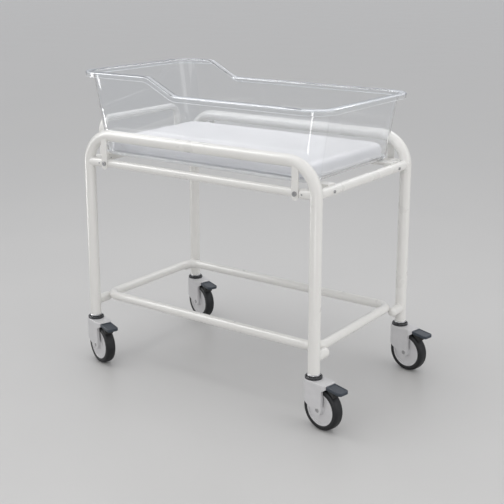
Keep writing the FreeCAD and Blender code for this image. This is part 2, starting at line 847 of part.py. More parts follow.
def make_tub():
    """The moulded tub: tapered shell with a round floor edge and a stepped, turned-down rim."""
    top = rim_high
    outside = tapered_block("tub_outside", Size.of(0), top, Size.of(0))
    round_edges(outside, size.tub_floor_round, lambda e: level_edge(e, 0), "tub_outside_round")
    inside = tapered_block("tub_inside", size.tub_wall, top, -size.tub_wall)
    round_edges(inside, size.tub_floor_round - size.tub_wall, lambda e: level_edge(e, float(size.tub_wall)),
                "tub_inside_round")
    wall = cut("tub_wall", outside, inside)
    trimmed = common("tub_trimmed", wall, rim_band("tub_below", Size.of(0), None))
    skirt_low = size.tub_depth - size.rim_drop * 2
    ledge = cut("tub_ledge", tapered_block("ledge_outside", skirt_low, top, size.rim_width),
                tapered_block("ledge_inside", skirt_low, top, -size.tub_wall))
    flange = common("tub_flange", ledge, rim_band("flange_band", Size.of(0), size.rim_thick))
    skirt = cut("tub_skirt", tapered_block("skirt_outside", skirt_low, top, size.rim_width),
                tapered_block("skirt_inside", skirt_low, top, size.rim_width - size.rim_thick))
    lip = common("tub_lip", skirt, rim_band("lip_band", Size.of(0), size.rim_drop))
    tub = fuse("tub", trimmed, flange, lip)
    tub.Refine = True
    gutter = size.rim_width - size.rim_thick
    for name, outward, below, radius in (
            ("rim_outer", size.rim_width, Size.of(0), size.rim_round),
            ("rim_gutter", gutter, size.rim_thick, size.rim_round - size.rim_thick),
            ("rim_inner", -size.tub_wall, Size.of(0), size.rim_inner_round),
            ("rim_neck", Size.of(0), size.rim_thick, size.rim_inner_round - size.tub_wall),
            ("lip_outer", size.rim_width, size.rim_drop, size.rim_lip_round),
            ("lip_inner", gutter, size.rim_drop, size.rim_lip_round)):
        tub = round_rim(tub, name, outward, below, radius)
    put(tub, -tub_shift, z=floor_z + size.end_float)
    deliver(tub, "tub")


def outside_wall(point):
    """How far a point lies outside the tub's outer wall at its own height."""
    corner = float(size.tub_corner)
    over_x, over_y = (abs(place) - float(half) + corner
                      for place, half in zip((point.x, point.y), plan_at(Size.of(point.z))))
    if over_x > 0 and over_y > 0:
        return math.hypot(over_x, over_y) - corner
    return max(over_x, over_y) - corner


def below_rim(point):
    """How far a point lies under the top line of the rim on its own side."""
    slope_x = float(size.rim_slope_near if point.y < 0 else size.rim_slope_far) + float(tub_shift)
    down = min(max((point.x - slope_x) / float(size.rim_slope_run), 0), 1)
    return float(rim_high) - down * float(size.rim_rise) - point.z


def round_rim(base, name, outward, below, radius):
    """Round the edges that run all along the rim at a distance from the wall and from the top line."""
    doc.recompute()
    wanted = []
    for index, edge in enumerate(base.Shape.Edges, start=1):
        middle = edge.valueAt((edge.FirstParameter + edge.LastParameter) / 2)
        if (abs(outside_wall(middle) - float(outward)) < PICK_SLACK
                and abs(below_rim(middle) - float(below)) < float(size.rim_thick) / 2 + PICK_SLACK / 2):
            wanted.append((index, float(radius), float(radius)))
    feature = doc.addObject("Part::Fillet", name)
    feature.Base = base
    feature.Edges = wanted
    return feature


def make_mattress():
    """A pad with rounded edges that fills the floor of the tub."""
    low = size.tub_wall
    body = new_body("pad")
    inset = -size.tub_wall - size.mattress_gap
    corners = rectangle(*plan_at(low, inset), size.tub_corner + inset)
    pad(body, outline_sketch(body, "XY", "pad_plan", corners, low), size.mattress_high)
    for level, height in (("foot", low), ("top", low + size.mattress_high)):
        round_edges(body, size.mattress_round, lambda e: level_edge(e, float(height)), "pad_" + level)
    deliver(put(body, -tub_shift, z=floor_z + size.end_float * 2), "mattress")


# --------------------------------------------------------------------------- casters

wheel_r = size.wheel_dia / 2
axle_r = size.axle_dia / 2
half_wheel = size.wheel_width / 2
fork_inner = half_wheel + size.fork_gap
fork_outer = fork_inner + size.fork_plate
kingpin_r = size.kingpin_dia / 2
flange_z = size.leg_foot_z - size.stem_flange_high
LYING = FreeCAD.Rotation(X_AXIS, 90)


class CasterPlace:
    """Where one caster stands: its swivel axis and the way its wheel trails."""

    def __init__(self, end, side):
        self.name = "%s_%s" % (end, side)
        self.x = half_x * ENDS[end]
        self.y = half_y * SIDES[side]
        self.angle = size.swivel_head if end == "head" else size.swivel_foot
        self.turn = FreeCAD.Rotation(Z_AXIS, float(self.angle))

    def put(self, obj, ahead=0, z=0, turn=None):
        """Place a piece that was drawn at the caster's own origin, with +X along the trail."""
        rotation = self.turn.multiply(turn) if turn else self.turn
        return put(obj, self.x + cosine(self.angle) * ahead, self.y + sine(self.angle) * ahead, z, rotation)


def make_stem(place):
    """Expanding plug, flange and kingpin, fixed in the leg."""
    low = kingpin_foot()
    head_r = size.kingpin_head_dia / 2
    plug_r = leg_r - size.tube_wall
    top = size.leg_foot_z + size.stem_plug_high
    zero = Size.of(0)
    profile = [(zero, low, 0), (head_r, low, size.edge_round), (head_r, low + size.kingpin_head_high, 0),
               (kingpin_r, low + size.kingpin_head_high, 0), (kingpin_r, flange_z, 0), (leg_r, flange_z, 0),
               (leg_r, size.leg_foot_z, 0), (plug_r, size.leg_foot_z, 0), (plug_r, top, size.stem_plug_round), (zero, top, 0)]
    body = revolve("stem_" + place.name, profile)
    deliver(place.put(body), "caster_stem_" + place.name)


def kingpin_foot():
    """Height of the underside of the kingpin's head, clear of the tyre."""
    return kingpin_seat() - size.end_float - size.kingpin_head_high


def kingpin_seat():
    """Height of the shoulder in the fork that the kingpin's head holds."""
    return size.fork_top_z - size.fork_roof


def make_race(place):
    """Ball race ring between the flange and the top of the fork."""
    low, top = size.fork_top_z, flange_z - size.end_float
    inner, outer = kingpin_r + size.running_gap, size.race_dia / 2
    profile = [(inner, low, 0), (outer, low, 0), (outer, top, size.edge_round), (inner, top, 0)]
    deliver(place.put(revolve("race_" + place.name, profile)), "swivel_race_" + place.name)


def make_seal(place):
    """Dark dust seal round the race."""
    low, top = size.fork_top_z, size.fork_top_z + size.seal_high
    outer = size.seal_dia / 2
    profile = [(outer - size.seal_wall, low, 0), (outer, low, 0), (outer, top, size.seal_round),
               (outer - size.seal_wall, top, size.edge_round)]
    deliver(place.put(revolve("seal_" + place.name, profile)), "swivel_seal_" + place.name)


def make_fork(place):
    """Moulded fork: a round head over the swivel, a bridge to the pedal and two tapering legs."""
    name = "fork_" + place.name
    body = new_body(name)
    head_r = size.fork_head_dia / 2
    boss_r = size.fork_boss_dia / 2
    top, axle_z = size.fork_top_z, wheel_r
    shoulder = top - size.fork_shoulder
    heel = size.trail + boss_r
    cheek = top - size.fork_cheek
    side = [(-head_r, top, 0), (-head_r, shoulder, size.fork_shoulder_round),
            (size.trail - boss_r * size.boss_tangent_x, axle_z - boss_r * size.boss_tangent_z, 0),
            (heel, axle_z, 0), (heel, cheek, size.fork_cheek_round),
            (size.fork_bridge, cheek + size.fork_lip_rise, size.fork_lip_round), (size.fork_bridge, top, 0)]
    pad(body, outline_sketch(body, "XZ", name + "_side", side), fork_outer * 2, midplane=True)
    boss = new_sketch(body, "XZ", name + "_boss")
    add_circle(boss, boss_r, size.trail, axle_z)
    pad(body, boss, fork_outer * 2, midplane=True)
    far = size.fork_head_dia * 3
    plan = new_sketch(body, "XY", name + "_plan")
    add_outline(plan, rectangle(far, far, 0))
    nose = fork_outer * size.fork_nose_share
    end_half = size.fork_bridge_width / 2
    end_start = size.fork_bridge - size.fork_bridge_taper
    add_outline(plan, [(-head_r, -fork_outer, nose), (end_start, -fork_outer, size.fork_cheek_round),
                       (size.fork_bridge, -end_half, size.fork_lip_round),
                       (size.fork_bridge, end_half, size.fork_lip_round),
                       (end_start, fork_outer, size.fork_cheek_round), (-head_r, fork_outer, nose)])
    pocket(body, plan, size.leg_foot_z, reverse=True)
    round_edges(body, size.fork_round, lambda e: level_edge(e, float(top)), name + "_top_round")
    wheel_room = new_sketch(body, "XZ", name + "_wheel_room")
    add_circle(wheel_room, wheel_r + size.fork_mud_gap, size.trail, axle_z)
    pocket(body, wheel_room, fork_inner * 2, midplane=True)
    behind = outline_sketch(body, "XZ", name + "_behind", [
        (size.trail, Size.of(0), 0), (size.wheel_dia, Size.of(0), 0), (size.wheel_dia, top - size.fork_skin, 0),
        (pedal_room_start(), top - size.fork_skin, 0), (pedal_room_start(), axle_z, 0), (size.trail, axle_z, 0)])
    pocket(body, behind, fork_inner * 2, midplane=True)
    bore_fork(body, name)
    deliver(place.put(body), "caster_fork_" + place.name)


def pedal_room_start():
    """Front wall of the pocket that the pedal's barrel turns in."""
    return size.pedal_pivot_x - size.pedal_barrel_dia / 2 - size.end_float * 3


def bore_fork(body, name):
    """Bores for kingpin, axle and pedal pins, and the recesses of the axle's heads."""
    head_room = new_sketch(body, "XY", name + "_head_room")
    add_circle(head_room, size.kingpin_head_dia / 2 + size.running_gap * 5)
    pocket(body, head_room, kingpin_seat(), reverse=True)
    pin_bore = new_sketch(body, "XY", name + "_pin_bore")
    add_circle(pin_bore, kingpin_r + size.running_gap)
    pocket(body, pin_bore, size.leg_foot_z, reverse=True)
    axle_bore = new_sketch(body, "XZ", name + "_axle_bore")
    add_circle(axle_bore, axle_r, size.trail, wheel_r)
    pocket(body, axle_bore, fork_outer * 2, midplane=True)
    pedal_bore = new_sketch(body, "XZ", name + "_pedal_bore")
    add_circle(pedal_bore, size.pedal_pin_dia / 2 + size.running_gap, size.pedal_pivot_x, size.pedal_pivot_z)
    pocket(body, pedal_bore, (fork_inner + size.pedal_pin_reach + size.end_float) * 2, midplane=True)
    for way in (-1, 1):
        recess = new_sketch(body, "XZ", "%s_recess_%s" % (name, "near" if way < 0 else "far"), fork_outer * -way)
        add_circle(recess, size.axle_head_dia / 2, size.trail, wheel_r)
        pocket(body, recess, size.axle_head_high, reverse=way > 0)


def make_axle(place):
    """Axle bolt and its cap nut, both flush in the bosses of the fork."""
    name = "axle_" + place.name
    head_r, head = size.axle_head_dia / 2, size.axle_head_high
    zero = Size.of(0)
    reach = fork_outer
    key_r, key = size.axle_key_dia / 2, size.axle_key_deep
    bolt = revolve(name, [(zero, reach, 0), (zero, key - reach, 0), (key_r, key - reach, 0), (key_r, -reach, 0),
                          (head_r, -reach, size.edge_round), (head_r, head - reach, 0), (axle_r, head - reach, 0),
                          (axle_r, reach, 0)])
    nut = revolve(name + "_nut", [(axle_r, reach - head, 0), (head_r, reach - head, 0),
                                  (head_r, reach, size.edge_round), (axle_r, reach, 0)])
    for part in (bolt, nut):
        place.put(part, size.trail, wheel_r, LYING)
    deliver(group(name, bolt, nut), "caster_axle_" + place.name)


def make_wheel(place):
    """Hub disc with its raised rim, and the tyre bonded to it."""
    rim_r = wheel_r - size.tyre_depth
    bore = axle_r + size.running_gap
    boss_r, boss = size.hub_boss_dia / 2, fork_inner - size.hub_side_gap
    web = size.hub_web / 2
    edge = half_wheel - size.hub_side_gap
    rim_inner, small = rim_r - size.hub_rim, size.edge_round
    upper = [(bore, boss, 0), (boss_r, boss, small), (boss_r + size.hub_slope, web, size.hub_fillet),
             (rim_inner - size.hub_slope / 2, web, small), (rim_inner, edge, small), (rim_r, edge, 0)]
    lower = [(radius, -height, rounding) for radius, height, rounding in reversed(upper)]
    hub = revolve("hub_" + place.name, upper + lower)
    deliver(place.put(hub, size.trail, wheel_r, LYING), "wheel_hub_" + place.name)
    shoulder, side_r = half_wheel, wheel_r - size.tread_crown
    flat, lip = size.tread_flat / 2, size.tyre_lip
    tread = [(rim_r, -edge, 0), (rim_r + lip, -shoulder, lip), (side_r, -shoulder, size.tyre_round),
             (wheel_r, -flat, size.tread_ease), (wheel_r, flat, size.tread_ease),
             (side_r, shoulder, size.tyre_round), (rim_r + lip, shoulder, lip), (rim_r, edge, 0)]
    tyre = revolve("tyre_" + place.name, tread)
    deliver(place.put(tyre, size.trail, wheel_r, LYING), "tyre_" + place.name)


def make_pedal(place):
    """Brake pedal: a broad slab on a barrel with two pins that turn in the fork."""
    name = "pedal_" + place.name
    body = new_body(name)
    x, z = size.pedal_pivot_x, size.pedal_pivot_z
    barrel_r, top, thick = size.pedal_barrel_dia / 2, size.pedal_top_z, size.pedal_thick
    fall = size.pedal_fall
    side = [(size.pedal_start, top, 0), (size.pedal_start, top - thick, 0),
            (size.pedal_end, top - fall - thick, 0), (size.pedal_end, top - fall, 0)]
    pad(body, outline_sketch(body, "XZ", name + "_slab", side), size.pedal_width, midplane=True)
    plan = new_sketch(body, "XY", name + "_plan")
    far = size.pedal_end * 2
    half = size.pedal_width / 2
    add_outline(plan, rectangle(far, far, 0))
    add_outline(plan, [(-size.pedal_end / 2, -half, 0), (size.pedal_end, -half, size.pedal_round),
                       (size.pedal_end, half, size.pedal_round), (-size.pedal_end / 2, half, 0)])
    pocket(body, plan, size.leg_foot_z, reverse=True)
    round_edges(body, size.pedal_edge, pedal_rim, name + "_round")
    dish_pedal(body, name)
    root = size.pedal_start + size.pedal_edge
    arm = [(x, z - barrel_r, 0), (root, top - thick, 0), (root, top - size.pedal_arm_drop, 0), (x, z + barrel_r, 0)]
    pad(body, outline_sketch(body, "XZ", name + "_arm", arm), (fork_inner - size.end_float * 2) * 2, midplane=True)
    for part, radius, width in (("barrel", barrel_r, fork_inner - size.end_float * 2),
                                ("pins", size.pedal_pin_dia / 2, fork_inner + size.pedal_pin_reach)):
        sketch = new_sketch(body, "XZ", "%s_%s" % (name, part))
        add_circle(sketch, radius, x, z)
        pad(body, sketch, width * 2, midplane=True)
    deliver(place.put(body), "brake_pedal_" + place.name)


def pedal_top(x):
    """Height of the top of the pedal's slab at a distance from the swivel."""
    share = (x - size.pedal_start) / (size.pedal_end - size.pedal_start)
    return size.pedal_top_z - size.pedal_fall * share


def dish_pedal(body, name):
    """Sink the top of the pedal inside a raised border."""
    start, end = size.pedal_start + size.pedal_border, size.pedal_end - size.pedal_border
    sunk = [(start, pedal_top(start) - size.pedal_dish, 0), (end, pedal_top(end) - size.pedal_dish, 0),
            (end, size.pedal_top_z, 0), (start, size.pedal_top_z, 0)]
    dish = outline_sketch(body, "XZ", name + "_dish", sunk)
    pocket(body, dish, size.pedal_width - size.pedal_border * 2, midplane=True)
    round_edges(body, size.pedal_round - size.pedal_border, lambda e: dish_corner(e, end), name + "_dish_corners")


def dish_corner(edge, end):
    """True for the two upright edges at the outer end of the pedal's dish."""
    box = edge.BoundBox
    return (abs(box.XMin - float(end)) < PICK_SLACK and box.XLength < PICK_SLACK / 2
            and box.YLength < PICK_SLACK / 2 and 0 < box.ZLength < float(size.pedal_dish) + PICK_SLACK)


def pedal_rim(edge):
    """True for the upper and lower outline edges of the pedal's slab, but not its square root."""
    box = edge.BoundBox
    return box.XMax > float(size.pedal_start) + PICK_SLACK and box.ZLength < float(size.pedal_fall) + PICK_SLACK


def pedal_underside(x):
    """Height of the underside of the pedal's slab at a distance from the swivel."""
    return pedal_top(x) - size.pedal_thick


def make_shoe(place):
    """Brake lining under the pedal, curved to the tyre."""
    name = "shoe_" + place.name
    body = new_body(name)
    width = (half_wheel - size.shoe_side_gap) * 2
    side = [(size.shoe_start, wheel_r, 0), (size.shoe_end, wheel_r, 0),
            (size.shoe_end, pedal_underside(size.shoe_end), 0),
            (size.shoe_start, pedal_underside(size.shoe_start), 0)]
    pad(body, outline_sketch(body, "XZ", name + "_side", side), width, midplane=True)
    room = new_sketch(body, "XZ", name + "_room")
    add_circle(room, wheel_r + size.shoe_gap, size.trail, wheel_r)
    pocket(body, room, width * 2, midplane=True)
    deliver(place.put(body), "brake_shoe_" + place.name)


def make_casters():
    """Four casters, each turned as it stands."""
    for end, side in CORNERS:
        place = CasterPlace(end, side)
        for make in (make_stem, make_race, make_seal, make_fork, make_axle, make_wheel, make_pedal, make_shoe):
            make(place)


# --------------------------------------------------------------------------- check and export

def check_document():
    """Stop on any failed object or bad shape."""
    doc.recompute()
    for obj in doc.Objects:
        if "Invalid" in obj.State or "Error" in obj.State:
            raise RuntimeError("%s failed: %s" % (obj.Name, obj.State))
    bad = [piece.Label for piece in pieces if piece.Shape.isNull() or not piece.Shape.isValid()]
    if bad:
        raise RuntimeError("no good shape: " + ", ".join(bad))


def export_pieces():
    """Write one STEP file for each node."""
    os.makedirs("parts", exist_ok=True)
    for piece in pieces:
        piece.Shape.exportStep("parts/%s.step" % piece.Label)
        box = piece.Shape.BoundBox
        print("%-26s %2d solids %10.0f mm3  x %.0f..%.0f y %.0f..%.0f z %.1f..%.1f" % (
            piece.Label, len(piece.Shape.Solids), piece.Shape.Volume, box.XMin, box.XMax, box.YMin, box.YMax,
            box.ZMin, box.ZMax))


make_side_frames()
make_side_rails()
make_rail_sockets()
make_set_screws()
make_cross_rails()
make_lower_ring()
make_ring_stubs()
make_straps()
make_strap_bolts()
make_guard_rail()
make_tub_rests()
make_tub()
make_mattress()
make_casters()
check_document()
export_pieces()
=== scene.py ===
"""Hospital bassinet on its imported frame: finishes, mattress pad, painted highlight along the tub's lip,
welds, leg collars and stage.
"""
import json
import logging
import math
from contextlib import contextmanager
from dataclasses import dataclass
from enum import Enum
from typing import Any, Iterable, Iterator

import bpy
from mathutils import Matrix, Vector


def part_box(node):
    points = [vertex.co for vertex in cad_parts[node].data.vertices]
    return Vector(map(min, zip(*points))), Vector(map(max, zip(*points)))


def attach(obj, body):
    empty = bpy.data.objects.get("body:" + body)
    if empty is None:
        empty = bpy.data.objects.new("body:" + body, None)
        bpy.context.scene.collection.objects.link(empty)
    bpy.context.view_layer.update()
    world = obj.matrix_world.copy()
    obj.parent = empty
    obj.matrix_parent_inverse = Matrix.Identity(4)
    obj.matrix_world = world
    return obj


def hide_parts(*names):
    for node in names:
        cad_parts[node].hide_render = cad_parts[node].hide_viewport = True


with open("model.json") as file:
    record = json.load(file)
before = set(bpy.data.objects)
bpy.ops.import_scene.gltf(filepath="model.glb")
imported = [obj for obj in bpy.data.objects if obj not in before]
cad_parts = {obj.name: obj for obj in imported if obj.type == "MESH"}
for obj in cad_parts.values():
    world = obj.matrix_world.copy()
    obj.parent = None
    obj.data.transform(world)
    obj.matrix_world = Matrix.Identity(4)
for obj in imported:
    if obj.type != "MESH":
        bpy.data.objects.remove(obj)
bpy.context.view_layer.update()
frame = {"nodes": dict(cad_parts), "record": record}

log = logging.getLogger("bassinet")

Colour = tuple[float, float, float]
Place = tuple[float, float, float]
Span = tuple[float, float]


class End(Enum):
    """Ends of the trolley: which corner of a side frame's box lies there, and the way to its leg's axis."""

    HEAD = (0, 1)
    FOOT = (1, -1)


class Side(Enum):
    """Sides of the trolley, with the sign towards the middle."""

    NEAR = 1
    FAR = -1


def corners() -> Iterator[tuple[End, Side, str]]:
    """Go round the trolley's four corners.

    Returns:
        Each corner's end, its side, and the tail of the names of its pieces.
    """
    for end in End:
        for side in Side:
            yield end, side, "%s_%s" % (end.name.lower(), side.name.lower())


# --------------------------------------------------------------------------- node trees

class NodeBoard:
    """A node tree with short calls for placing and joining nodes."""

    mix_colours: tuple[int, int] = (6, 7)
    mix_result: int = 2

    def __init__(self, tree: bpy.types.NodeTree) -> None:
        """Work on one tree.

        Args:
            tree: the tree that the nodes go into.
        """
        self.tree = tree

    @classmethod
    def cleared(cls, owner: bpy.types.Material | bpy.types.World) -> "NodeBoard":
        """Start a material's or the world's tree afresh.

        Args:
            owner: the material or the world.

        Returns:
            The board of its empty tree.
        """
        owner.use_nodes = True
        owner.node_tree.nodes.clear()
        return cls(owner.node_tree)

    def add(self, kind: str, inputs: dict[str | int, Any] | None = None, **settings: Any) -> bpy.types.Node:
        """Place a node, set its options and feed its sockets.

        Args:
            kind: the node's type name.
            inputs: socket name or number to a value, or to the output socket that feeds it.
            settings: the node's own options.

        Returns:
            The new node.
        """
        node = self.tree.nodes.new(kind)
        for name, value in settings.items():
            setattr(node, name, value)
        self.feed(node, inputs or {})
        return node

    def feed(self, node: bpy.types.Node, inputs: dict[str | int, Any]) -> None:
        """Feed some of a node's sockets.

        Args:
            node: the node.
            inputs: socket name or number to a value, or to the output socket that feeds it.
        """
        for key, value in inputs.items():
            if isinstance(value, bpy.types.NodeSocket):
                self.tree.links.new(value, node.inputs[key])
            else:
                node.inputs[key].default_value = value

    def noise(self, where: bpy.types.NodeSocket, scale: float, detail: float) -> bpy.types.NodeSocket:
        """A noise factor.

        Args:
            where: the coordinates.
            scale: cells to the metre.
            detail: octaves.

        Returns:
            The factor's socket.
        """
        return self.add("ShaderNodeTexNoise", {"Vector": where, "Scale": scale, "Detail": detail}).outputs[0]

    def stretch(self, where: bpy.types.NodeSocket, scale: Place) -> bpy.types.NodeSocket:
        """Coordinates that run at a different pace in X, Y and Z."""
        return self.add("ShaderNodeMapping", {"Vector": where, "Scale": scale}).outputs[0]

    def span(self, factor: bpy.types.NodeSocket, low: float, high: float,
             start: float = 0.3, stop: float = 0.7) -> bpy.types.NodeSocket:
        """Map a factor to a range.

        Args:
            factor: the incoming value.
            low: the result at start.
            high: the result at stop.
            start: where the factor begins to count.
            stop: where it ends.

        Returns:
            The mapped value's socket.
        """
        node = self.add("ShaderNodeMapRange", {"Value": factor, "From Min": start, "From Max": stop,
                                               "To Min": low, "To Max": high})
        return node.outputs[0]

    def blend(self, factor: bpy.types.NodeSocket, first: Any, second: Any) -> bpy.types.NodeSocket:
        """Mix two colours.

        Args:
            factor: the share of the second colour.
            first: a colour or a socket.
            second: a colour or a socket.

        Returns:
            The mixed colour's socket.
        """
        node = self.add("ShaderNodeMix", {0: factor}, data_type="RGBA")
        for index, value in zip(self.mix_colours, (first, second)):
            self.feed(node, {index: value if isinstance(value, bpy.types.NodeSocket) else (*value, 1.0)})
        return node.outputs[self.mix_result]

    def relief(self, height: bpy.types.NodeSocket, depth: float,
               under: bpy.types.NodeSocket | None = None) -> bpy.types.NodeSocket:
        """The normal of a relief.

        Args:
            height: the relief.
            depth: its depth in metres.
            under: the normal of a coarser relief below it.

        Returns:
            The normal's socket.
        """
        below = {} if under is None else {"Normal": under}
        node = self.add("ShaderNodeBump", {"Height": height, "Distance": depth, "Strength": 1.0, **below})
        return node.outputs[0]


class EffectGroup:
    """A shader node group with named inputs and outputs, made once."""

    name: str = ""
    inputs: dict[str, float] = {}
    outputs: tuple[str, ...] = ()

    @classmethod
    def tree(cls) -> bpy.types.NodeTree:
        """Find the group's tree, or build it on first use.

        Returns:
            The tree.
        """
        tree = bpy.data.node_groups.get(cls.name)
        if tree is None:
            tree = bpy.data.node_groups.new(cls.name, "ShaderNodeTree")
            tree.interface.new_socket("Vector", in_out="INPUT", socket_type="NodeSocketVector")
            for label, value in cls.inputs.items():
                socket = tree.interface.new_socket(label, in_out="INPUT", socket_type="NodeSocketFloat")
                socket.default_value = value
            for label in cls.outputs:
                tree.interface.new_socket(label, in_out="OUTPUT", socket_type="NodeSocketFloat")
            board = NodeBoard(tree)
            cls.wire(board, board.add("NodeGroupInput"), board.add("NodeGroupOutput"))
        return tree

    @classmethod
    def wire(cls, board: NodeBoard, source: bpy.types.Node, result: bpy.types.Node) -> None:
        """Join the group's inside; each group has its own."""
        raise NotImplementedError

    @classmethod
    def place(cls, board: NodeBoard, where: bpy.types.NodeSocket, **values: float) -> bpy.types.Node:
        """Put the group into a material.

        Args:
            board: the material's board.
            where: the coordinates it reads.
            values: its own inputs.

        Returns:
            The group node.
        """
        return board.add("ShaderNodeGroup", {"Vector": where, **values}, node_tree=cls.tree())


class SkinGrain(EffectGroup):
    """A fine surface grain over a slower wave, as on powder coat and moulded plastic."""

    name = "skin_grain"
    inputs = {"Fine": 700.0, "Slow": 60.0, "Share": 0.6}
    outputs = ("Height", "Patch")
    details = {"Fine": 2.0, "Slow": 3.0}

    @classmethod
    def wire(cls, board: NodeBoard, source: bpy.types.Node, result: bpy.types.Node) -> None:
        """Sum a fine and a slow noise for the height, and give the slow one as patches.

        Args:
            board: the group's board.
            source: its input node.
            result: its output node.
        """
        fine, slow = (board.add("ShaderNodeTexNoise", {"Vector": source.outputs["Vector"],
                                                       "Scale": source.outputs[label], "Detail": detail})
                      for label, detail in cls.details.items())
        mix = board.add("ShaderNodeMix", {0: source.outputs["Share"], 2: slow.outputs[0], 3: fine.outputs[0]},
                        data_type="FLOAT")
        board.feed(result, {"Height": mix.outputs[0], "Patch": slow.outputs[0]})


# --------------------------------------------------------------------------- finishes

@dataclass(frozen=True)
class Finish:
    """A surface finish for one material slot, with the range of its tones and the depth of its relief."""

    slot: str
    colour: Colour
    tones: Span
    relief: float = 0.00001

    def material(self) -> bpy.types.Material:
        """Build the finish.

        Returns:
            The material.
        """
        made = bpy.data.materials.new(self.slot)
        board = NodeBoard.cleared(made)
        shader = board.add("ShaderNodeBsdfPrincipled")
        self.dress(board, board.add("ShaderNodeTexCoord").outputs["Object"], shader)
        board.add("ShaderNodeOutputMaterial", {"Surface": self.surface(board, shader)})
        return made

    def dress(self, board: NodeBoard, where: bpy.types.NodeSocket, shader: bpy.types.Node) -> None:
        """Give the shader its colour, roughness and relief; each finish has its own way.

        Args:
            board: the material's board.
            where: the object coordinates.
            shader: the shader to feed.
        """
        raise NotImplementedError

    def surface(self, board: NodeBoard, shader: bpy.types.Node) -> bpy.types.NodeSocket:
        """The socket that the output reads."""
        return shader.outputs[0]

    def tinted(self, board: NodeBoard, factor: bpy.types.NodeSocket) -> bpy.types.NodeSocket:
        """The finish's colour, which goes through its tones.

        Args:
            board: the material's board.
            factor: what picks the tone.

        Returns:
            The colour's socket.
        """
        shades = (tuple(min(1.0, part * tone) for part in self.colour) for tone in self.tones)
        return board.blend(board.span(factor, 0.0, 1.0), *shades)


@dataclass(frozen=True)
class PowderCoat(Finish):
    """Off-white powder coat with orange peel."""

    tones: Span = (0.985, 1.01)
    relief: float = 0.000008
    roughness: Span = (0.27, 0.30)
    peel: float = 350.0
    clouds: float = 14.0
    peel_share: float = 0.8
    coat: float = 0.25
    coat_roughness: float = 0.15

    def dress(self, board: NodeBoard, where: bpy.types.NodeSocket, shader: bpy.types.Node) -> None:
        """Orange peel and a faint cloudiness of tone and gloss.

        Args:
            board: the material's board.
            where: the object coordinates.
            shader: the shader to feed.
        """
        grain = SkinGrain.place(board, where, Fine=self.peel, Slow=self.clouds, Share=self.peel_share)
        patch = grain.outputs["Patch"]
        board.feed(shader, {"Base Color": self.tinted(board, patch),
                            "Roughness": board.span(patch, *self.roughness),
                            "Coat Weight": self.coat,
                            "Coat Roughness": self.coat_roughness,
                            "Normal": board.relief(grain.outputs["Height"], self.relief)})


@dataclass(frozen=True)
class ClearMoulding(Finish):
    """Clear acrylic with faint wipe marks; it lets the light through to the mattress."""

    tones: Span = (1.0, 0.985)
    relief: float = 0.0002
    roughness: float = 0.04
    ior: float = 1.49
    coat: float = 0.5
    coat_roughness: float = 0.02
    wipes: float = 9.0
    wipe_pace: Place = (1.0, 1.0, 6.0)
    wiped: Span = (0.5, 0.75)
    waves: float = 7.0
    shadow: tuple[float, float, float, float] = (0.994, 0.997, 1.0, 1.0)

    def dress(self, board: NodeBoard, where: bpy.types.NodeSocket, shader: bpy.types.Node) -> None:
        """Wipe marks in the roughness and the slightest waviness of the sheet.

        Args:
            board: the material's board.
            where: the object coordinates.
            shader: the shader to feed.
        """
        marks = board.noise(board.stretch(where, self.wipe_pace), self.wipes, detail=6.0)
        board.feed(shader, {"Transmission Weight": 1.0,
                            "IOR": self.ior,
                            "Coat Weight": self.coat,
                            "Coat Roughness": self.coat_roughness,
                            "Base Color": self.tinted(board, marks),
                            "Roughness": board.span(marks, 0.0, self.roughness, *self.wiped),
                            "Normal": board.relief(board.noise(where, self.waves, detail=2.0), self.relief)})

    def surface(self, board: NodeBoard, shader: bpy.types.Node) -> bpy.types.NodeSocket:
        """Shadow rays pass with a light tint instead of being stopped.

        Args:
            board: the material's board.
            shader: the shader for all other rays.

        Returns:
            The socket that the output reads.
        """
        clear = board.add("ShaderNodeBsdfTransparent", {"Color": self.shadow})
        path = board.add("ShaderNodeLightPath")
        mix = board.add("ShaderNodeMixShader", {0: path.outputs["Is Shadow Ray"], 1: shader.outputs[0],
                                                2: clear.outputs[0]})
        return mix.outputs[0]


@dataclass(frozen=True)
class CoverCloth(Finish):
    """White wipe-clean coated fabric: fine weave, soft creases, a little sheen."""

    tones: Span = (0.97, 1.02)
    relief: float = 0.00003
    roughness: Span = (0.40, 0.52)
    threads: float = 260.0
    patches: float = 5.0
    crease_pace: Place = (6.0, 16.0, 9.0)
    crease_depth: float = 0.0022
    sheen: float = 0.12
    sheen_roughness: float = 0.4

    def dress(self, board: NodeBoard, where: bpy.types.NodeSocket, shader: bpy.types.Node) -> None:
        """Weave in two directions over slow creases.

        Args:
            board: the material's board.
            where: the object coordinates.
            shader: the shader to feed.
        """
        along, across = (board.add("ShaderNodeTexWave", {"Vector": where, "Scale": self.threads},
                                   bands_direction=way).outputs["Fac"] for way in ("X", "Y"))
        weave = board.add("ShaderNodeMath", {0: along, 1: across}, operation="MULTIPLY").outputs[0]
        patch = board.noise(where, self.patches, detail=3.0)
        creases = board.noise(board.stretch(where, self.crease_pace), 1.0, detail=4.0)
        creased = board.relief(creases, self.crease_depth)
        board.feed(shader, {"Base Color": self.tinted(board, patch),
                            "Roughness": board.span(patch, *self.roughness),
                            "Sheen Weight": self.sheen,
                            "Sheen Roughness": self.sheen_roughness,
                            "Normal": board.relief(weave, self.relief, creased)})


